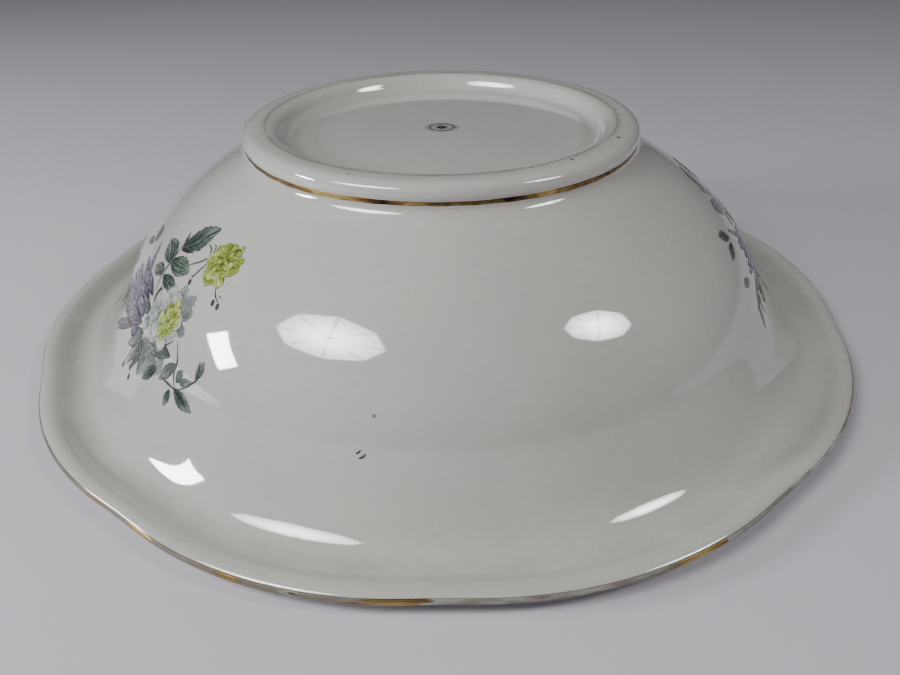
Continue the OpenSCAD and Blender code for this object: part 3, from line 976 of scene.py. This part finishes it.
def stage_plane(name, z, faces_up, material):
    reach = STAGE_REACH
    corners = [(-reach, -reach, z), (reach, -reach, z), (reach, reach, z), (-reach, reach, z)]
    mesh = bpy.data.meshes.new(name)
    mesh.from_pydata(corners, [], [(0, 1, 2, 3)] if faces_up else [(3, 2, 1, 0)])
    mesh.materials.append(material)
    in_scene(name, mesh)


def one_sided(name, color, first, last):
    """A plain surface that is solid from its front only, and only for light that has passed
    first to last see-through surfaces, so the floors hide the table and the table the floors."""
    material, tree, _, _ = new_material(name, 0.55, Base_Color=color)
    passed = node(tree, "LightPath").outputs["Transparent Depth"]
    over = math_node(tree, "GREATER_THAN", passed, last + 0.5)
    under = math_node(tree, "LESS_THAN", passed, first - 0.5)
    back = node(tree, "NewGeometry").outputs["Backfacing"]
    clear = larger(tree, larger(tree, over, under), back)
    mix = node(tree, "MixShader", {0: clear, 1: tree.nodes["Principled BSDF"].outputs[0],
                                   2: node(tree, "BsdfTransparent").outputs[0]})
    tree.links.new(mix.outputs[0], tree.nodes["Material Output"].inputs["Surface"])
    return material


def build_stage():
    """Two floors, one close below the other, and the table top. Light meets both floors
    before it can meet the table, which starts after two see-through surfaces."""
    floor = one_sided("pale_floor", (0.78, 0.77, 0.75, 1), -5, 1)
    table = one_sided("pale_table", (0.66, 0.635, 0.69, 1), 2, 99)
    stage_plane("floor", -STAGE_GAP, True, floor)
    stage_plane("floor_below", -STAGE_GAP - 0.5 * MM, True, floor)
    stage_plane("table_top", BOWL_H + STAGE_GAP, False, table)


def flipped(v):
    """The same direction or place once the bowl stands upright instead of on its rim."""
    return Vector((-v.x, v.y, -v.z))


def matrix_of(axes, place):
    """The matrix of an object at a place, with its own X, Y and Z along the three axes."""
    rows = [[axis[i] for axis in axes] + [place[i]] for i in range(3)]
    return Matrix(rows + [[0, 0, 0, 1]])


def soft_lamp(name, azimuth, elevation, distance, width, height, power, rise=0.0, turned_over=True,
              color=(1, 1, 1)):
    """A soft flat lamp that faces the bowl. Azimuth is 0 in front of the bowl and positive to
    the viewer's right, and rise is how steeply the lamp's long side climbs to the right.
    turned_over lamps light the bowl as it lies on its rim."""
    a, e, roll = math.radians(azimuth), math.radians(elevation), math.radians(rise)
    away = Vector((math.sin(a) * math.cos(e), -math.cos(a) * math.cos(e), math.sin(e)))
    sideways = Vector((math.cos(a), math.sin(a), 0))
    upwards = away.cross(sideways)
    long_side = math.cos(roll) * sideways + math.sin(roll) * upwards
    aim = Vector((0, 0, 0))
    if turned_over:
        away, long_side = flipped(away), flipped(long_side)
        aim = Vector((0, 0, BOWL_H))
    lamp = bpy.data.lights.new(name, "AREA")
    lamp.shape = "RECTANGLE"
    lamp.size = width
    lamp.size_y = height
    lamp.energy = power
    lamp.color = color
    axes = [long_side, away.cross(long_side), away]
    in_scene(name, lamp).matrix_world = matrix_of(axes, aim + away * distance)
    return lamp


def umbrella(*sizes, **settings):
    """A lamp in a shoot-through umbrella: an octagon of cloth with eight darker ribs, bright
    round the pole and dimmer towards the edge."""
    lamp = soft_lamp(*sizes, **settings)
    lamp.use_nodes = True
    tree = lamp.node_tree
    emit = tree.nodes["Emission"]
    spot = node(tree, "SeparateXYZ", {"Vector": node(tree, "NewGeometry").outputs["Parametric"]})
    x = minus(tree, spot.outputs["X"], 0.5)
    y = minus(tree, spot.outputs["Y"], 0.5)
    radius = math_node(tree, "SQRT", plus(tree, times(tree, x, x), times(tree, y, y)))
    turn = times(tree, math_node(tree, "ARCTAN2", y, x), 4 / math.pi)
    panel = minus(tree, math_node(tree, "FRACT", turn), 0.5)
    reach = math_node(tree, "COSINE", times(tree, panel, math.pi / 4))
    inside = step_up(tree, times(tree, radius, reach), 0.44, 0.47, 1.0, 0.0)
    rib = step_up(tree, math_node(tree, "ABSOLUTE", panel), 0.40, 0.50, 1.0, 0.45)
    pole = step_up(tree, radius, 0.0, 0.05, 0.2, 1.0)
    fall = step_up(tree, radius, 0.05, 0.46, 1.9, 0.75)
    bright = times(tree, times(tree, rib, pole), fall)
    tree.links.new(times(tree, bright, inside), emit.inputs["Strength"])


def build_light():
    umbrella("left_umbrella", -46, 47.6, 1.1, 0.64, 0.33, 8.5, rise=18)
    umbrella("right_umbrella", 69, 43, 1.7, 0.62, 0.36, 9.5, rise=-45)
    soft_lamp("window", -75, 20, 1.6, 0.38, 0.22, 13, rise=-33, color=(0.90, 0.95, 1.0))
    umbrella("upright_left", -50, 48, 1.2, 0.66, 0.60, 15, turned_over=False)
    umbrella("upright_right", 65, 42, 1.6, 0.60, 0.50, 14, turned_over=False)
    soft_lamp("upright_top", 180, 62, 2.6, 1.6, 1.2, 55, turned_over=False)
    world = bpy.data.worlds.new("studio")
    bpy.context.scene.world = world
    world.use_nodes = True
    sky = world.node_tree.nodes["Background"]
    sky.inputs["Color"].default_value = (0.50, 0.50, 0.52, 1)
    sky.inputs["Strength"].default_value = 0.24


def build_camera():
    """Below the upright bowl and looking up at it upside down, as it is seen turned over on a
    table: 33 degrees down on it, 2.6 degrees round and 0.8 degrees rolled."""
    place = Vector((-0.0203, -0.3823, -0.1082))
    pitch, yaw, roll = (math.radians(v) for v in (32.877, -2.577, -0.760))
    ahead = Vector((math.sin(yaw) * math.cos(pitch), math.cos(yaw) * math.cos(pitch), -math.sin(pitch)))
    side = Vector((math.cos(yaw), -math.sin(yaw), 0))
    over = side.cross(ahead)
    right = math.cos(roll) * side + math.sin(roll) * over
    up = math.cos(roll) * over - math.sin(roll) * side
    axes = [flipped(v) for v in (right, up, -ahead)]
    lens = bpy.data.cameras.new("camera")
    lens.sensor_width = 36
    lens.lens = 29.12
    lens.clip_start = 0.01
    camera = in_scene("camera", lens)
    camera.matrix_world = matrix_of(axes, place)
    bpy.context.scene.camera = camera


build_camera()
build_stage()
build_light()
build_bowl()
build_foot()
build_foot_line()
build_rim_gold()
INKS = print_materials()
build_sprays(INKS)
build_stray_leaf(INKS)
build_mark()
